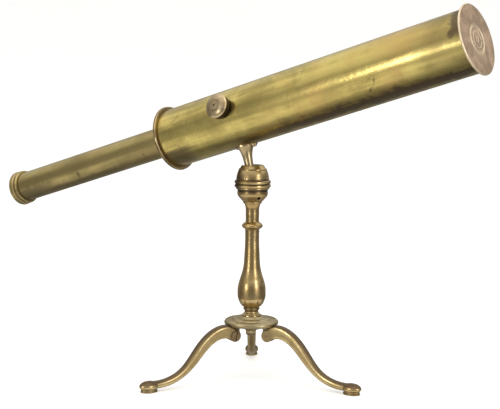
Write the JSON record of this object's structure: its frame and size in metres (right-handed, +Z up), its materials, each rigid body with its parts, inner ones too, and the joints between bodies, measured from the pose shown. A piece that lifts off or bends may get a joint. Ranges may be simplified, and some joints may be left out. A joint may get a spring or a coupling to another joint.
{
  "type": "tabletop telescope",
  "caption": "Antique brass refracting telescope with a rack-focused draw tube, on a ball-jointed baluster stand with folding cabriole legs",
  "frame": {"origin": "on the table plane, on the vertical axis of the stand's column", "axes": "+Z up, +X is the way the objective points, seen from above; the focusing knob is on the -Y side"},
  "size_m": [0.6803, 0.2586, 0.4499],
  "materials": {
    "barrel_brass": "old polished brass, yellow-olive, lacquer worn and streaked",
    "draw_brass": "duller olive brass with a worn sliding surface",
    "stand_brass": "warm bronze-brown cast and turned brass",
    "hub_brass": "grey-green tarnish in the mouldings",
    "cap_brass": "matt pink-brown brass with turned rings",
    "inner_brass": "turned brass, not handled",
    "steel": "dark blued steel",
    "glass": "clear polished glass",
    "leather": "waxed leather"
  },
  "bodies": {
    "stand": {"hub": "hub_brass", "hub_washer": "stand_brass", "hub_nut": "stand_brass", "column": "stand_brass", "lower_socket": "stand_brass", "leather_pad": "leather"},
    "front_leg": {"front_leg": "stand_brass", "front_leg_screw": "stand_brass"},
    "far_leg": {"far_leg": "stand_brass", "far_leg_screw": "stand_brass"},
    "near_leg": {"near_leg": "stand_brass", "near_leg_screw": "stand_brass"},
    "cup": {"upper_cup": "stand_brass", "cup_pin": "stand_brass"},
    "ball": {"ball": "stand_brass"},
    "telescope": {"stem": "stand_brass", "foot_screw": "stand_brass", "barrel": "barrel_brass", "rear_flange": "barrel_brass", "guide_sleeve": "draw_brass", "baffle": "inner_brass", "objective_cell": "inner_brass", "flint_lens": "glass", "crown_lens": "glass", "lens_ring": "inner_brass", "pinion_bush": "barrel_brass"},
    "draw": {"draw_tube": "draw_brass", "draw_collar": "inner_brass", "rack": "inner_brass", "rack_screws": "steel", "eyepiece_mount": "draw_brass", "eye_lens": "glass", "eye_lens_ring": "inner_brass", "field_cell": "inner_brass", "field_lens": "glass", "rear_erector_cell": "inner_brass", "rear_erector_lens": "glass", "front_erector_cell": "inner_brass", "front_erector_lens": "glass"},
    "focus": {"pinion": "steel", "focus_knob": "barrel_brass"},
    "cap": {"dust_cap": "cap_brass"}
  },
  "joints": [
    {"name": "pan", "type": "hinge", "parent": "stand", "child": "cup", "pos_m": [0, 0, 0.2375], "axis": [0, 0, 1], "continuous": true},
    {"name": "tilt", "type": "hinge", "parent": "cup", "child": "ball", "pos_m": [0, 0, 0.2375], "axis": [0, -1, 0], "range_deg": [-28, 28]},
    {"name": "spin", "type": "hinge", "parent": "ball", "child": "telescope", "pos_m": [0, 0, 0.2375], "axis": [-0.225, 0, 0.9744], "continuous": true},
    {"name": "draw_slide", "type": "slide", "parent": "telescope", "child": "draw", "axis": [0.9563, 0, 0.2924], "range_m": [-0.015, 0.06]},
    {"name": "focus_spin", "type": "hinge", "parent": "telescope", "child": "focus", "pos_m": [-0.01979, 0, 0.31866], "axis": [-0.0952, -0.9455, 0.3113], "range_deg": [-180, 717]},
    {"name": "cap_pull", "type": "slide", "parent": "telescope", "child": "cap", "axis": [0.9563, 0, 0.2924], "range_m": [0, 0.03]},
    {"name": "front_leg_fold", "type": "hinge", "parent": "stand", "child": "front_leg", "pos_m": [0.02397, 0.00126, 0.0565], "axis": [-0.0523, 0.9986, 0], "range_deg": [0, 66]},
    {"name": "far_leg_fold", "type": "hinge", "parent": "stand", "child": "far_leg", "pos_m": [-0.01307, 0.02013, 0.0565], "axis": [-0.8387, -0.5446, 0], "range_deg": [0, 66]},
    {"name": "near_leg_fold", "type": "hinge", "parent": "stand", "child": "near_leg", "pos_m": [-0.0109, -0.02138, 0.0565], "axis": [0.891, -0.454, 0], "range_deg": [0, 66]}
  ],
  "couplings": [
    {"joint": "focus_spin", "follows": "draw_slide", "rad_per_m": 208.33}
  ]
}
